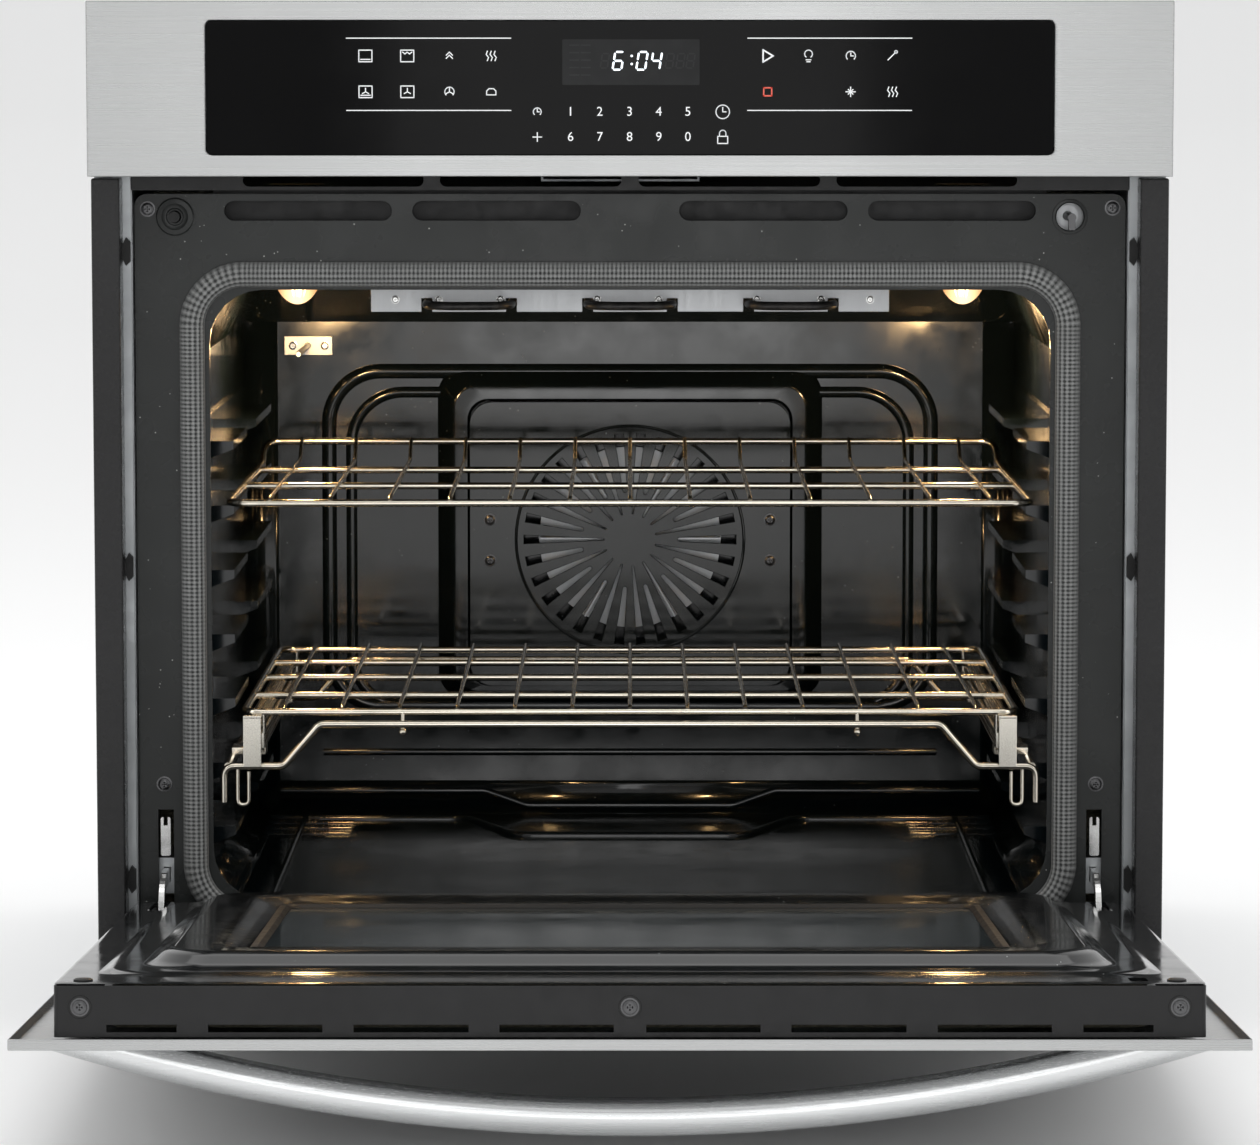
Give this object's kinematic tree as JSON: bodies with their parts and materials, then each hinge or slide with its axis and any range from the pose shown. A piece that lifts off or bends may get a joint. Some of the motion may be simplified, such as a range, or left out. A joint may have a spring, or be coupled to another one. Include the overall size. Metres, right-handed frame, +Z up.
{
  "type": "wall oven",
  "caption": "Built-in single wall oven with a drop-down door, touch control panel, convection fan, wire rack and sliding glide rack.",
  "frame": {"origin": "on the underside of the chassis base, at mid width, in the plane of the cabinet face that the side flanges bear on", "axes": "+X to the right seen from the front, +Y into the wall, away from the user, +Z up"},
  "size_m": [0.762, 1.1694, 0.7366],
  "materials": {
    "stainless": "horizontally brushed stainless steel sheet, satin",
    "handle_steel": "stainless bar brushed along its length",
    "key_glass": "black back-printed touch glass, very glossy",
    "door_glass": "dark tinted outer window pane",
    "inner_glass": "coated clear inner window pane",
    "frame_enamel": "dark grey porcelain enamel with fine white specks",
    "cavity_enamel": "glossy blue-black porcelain enamel with fine specks",
    "black_paint": "satin black painted sheet steel",
    "galvanised": "zinc coated sheet steel with a faint spangle",
    "hinge_steel": "bright nickel plated steel",
    "slide_steel": "bright plated slide rail with a warm tint",
    "rack_chrome": "chrome plated steel wire",
    "element_sheath": "dark oxidised heating element sheath",
    "plain_steel": "plain pressed steel",
    "lamp_glass": "ribbed glass lamp cover, lit warm white",
    "seal_rope": "woven glass fibre rope, grey",
    "mineral_wool": "yellow mineral wool blanket",
    "circuit_board": "green solder mask",
    "black_plastic": "moulded black plastic, fine texture"
  },
  "bodies": {
    "root": {"control_panel": "stainless", "control_glass": "key_glass", "display_module": "black_plastic", "touch_board": "circuit_board", "vent_grille": "black_paint", "front_frame": "frame_enamel", "gasket": "seal_rope", "bottom_trim": "stainless", "chassis_top": "galvanised", "chassis_back": "galvanised", "chassis_base": "galvanised", "cavity_liner": "cavity_enamel", "insulation_wrap": "mineral_wool", "fan_cover": "cavity_enamel", "fan_motor": "plain_steel", "convection_element": "element_sheath", "broil_element": "element_sheath", "broil_bracket": "galvanised", "bake_element": "element_sheath", "temperature_sensor": "galvanised", "blower_housing": "galvanised", "blower_motor": "plain_steel", "relay_board": "circuit_board", "terminal_block": "black_plastic", "cable_gland": "black_plastic", "latch_motor": "plain_steel", "side_trim_left": "black_paint", "mounting_rail_left": "galvanised", "chassis_left": "galvanised", "rack_guide_left": "cavity_enamel", "lamp_left": "lamp_glass", "hinge_arm_left": "hinge_steel", "hinge_receiver_left": "galvanised", "side_trim_right": "black_paint", "mounting_rail_right": "galvanised", "chassis_right": "galvanised", "rack_guide_right": "cavity_enamel", "lamp_right": "lamp_glass", "hinge_arm_right": "hinge_steel", "hinge_receiver_right": "galvanised"},
    "door": {"door_skin": "stainless", "door_box": "black_paint", "door_liner": "cavity_enamel", "outer_glass": "door_glass", "inner_glass": "inner_glass", "door_insulation": "mineral_wool", "door_handle": "handle_steel", "hinge_channel_left": "galvanised", "hinge_channel_right": "galvanised"},
    "upper_rack": {"upper_rack": "rack_chrome"},
    "glide_base": {"glide_base": "rack_chrome", "slide_rail_left": "slide_steel", "slide_rail_right": "slide_steel"},
    "glide_rack": {"glide_rack": "rack_chrome"},
    "convection_fan": {"convection_fan": "plain_steel"},
    "blower_wheel": {"blower_wheel": "plain_steel"},
    "hinge_lock_left": {"hinge_lock_left": "hinge_steel"},
    "hinge_lock_right": {"hinge_lock_right": "hinge_steel"},
    "latch_hook": {"latch_hook": "plain_steel"},
    "door_switch_plunger": {"door_switch_plunger": "black_plastic"}
  },
  "joints": [
    {"name": "door_hinge", "type": "hinge", "parent": "root", "child": "door", "pos_m": [0, -0.03, 0.065], "axis": [-1, 0, 0], "range_deg": [0, 86]},
    {"name": "upper_rack_slide", "type": "slide", "parent": "root", "child": "upper_rack", "axis": [0, 1, 0], "range_m": [-0.3, 0]},
    {"name": "glide_base_slide", "type": "slide", "parent": "root", "child": "glide_base", "axis": [0, 1, 0], "range_m": [-0.16, 0]},
    {"name": "glide_rack_slide", "type": "slide", "parent": "glide_base", "child": "glide_rack", "axis": [0, 1, 0], "range_m": [-0.28, 0]},
    {"name": "convection_fan_spin", "type": "hinge", "parent": "root", "child": "convection_fan", "pos_m": [0, 0.511, 0.3087], "axis": [0, 1, 0], "continuous": true},
    {"name": "blower_wheel_spin", "type": "hinge", "parent": "root", "child": "blower_wheel", "pos_m": [0.02, 0.4, 0.63], "axis": [0, 0, 1], "continuous": true},
    {"name": "hinge_lock_left_flip", "type": "hinge", "parent": "root", "child": "hinge_lock_left", "pos_m": [-0.334, 0.0095, 0.127], "axis": [-1, 0, 0], "range_deg": [-110, 0]},
    {"name": "hinge_lock_right_flip", "type": "hinge", "parent": "root", "child": "hinge_lock_right", "pos_m": [0.334, 0.0095, 0.127], "axis": [-1, 0, 0], "range_deg": [-110, 0]},
    {"name": "latch_hook_turn", "type": "hinge", "parent": "root", "child": "latch_hook", "pos_m": [0.3132, 0, 0.584], "axis": [0, 1, 0], "range_deg": [0, 90]},
    {"name": "door_switch_press", "type": "slide", "parent": "root", "child": "door_switch_plunger", "axis": [0, 1, 0], "range_m": [0, 0.006], "stiffness_N_per_m": 300, "springref_m": -0.003}
  ]
}
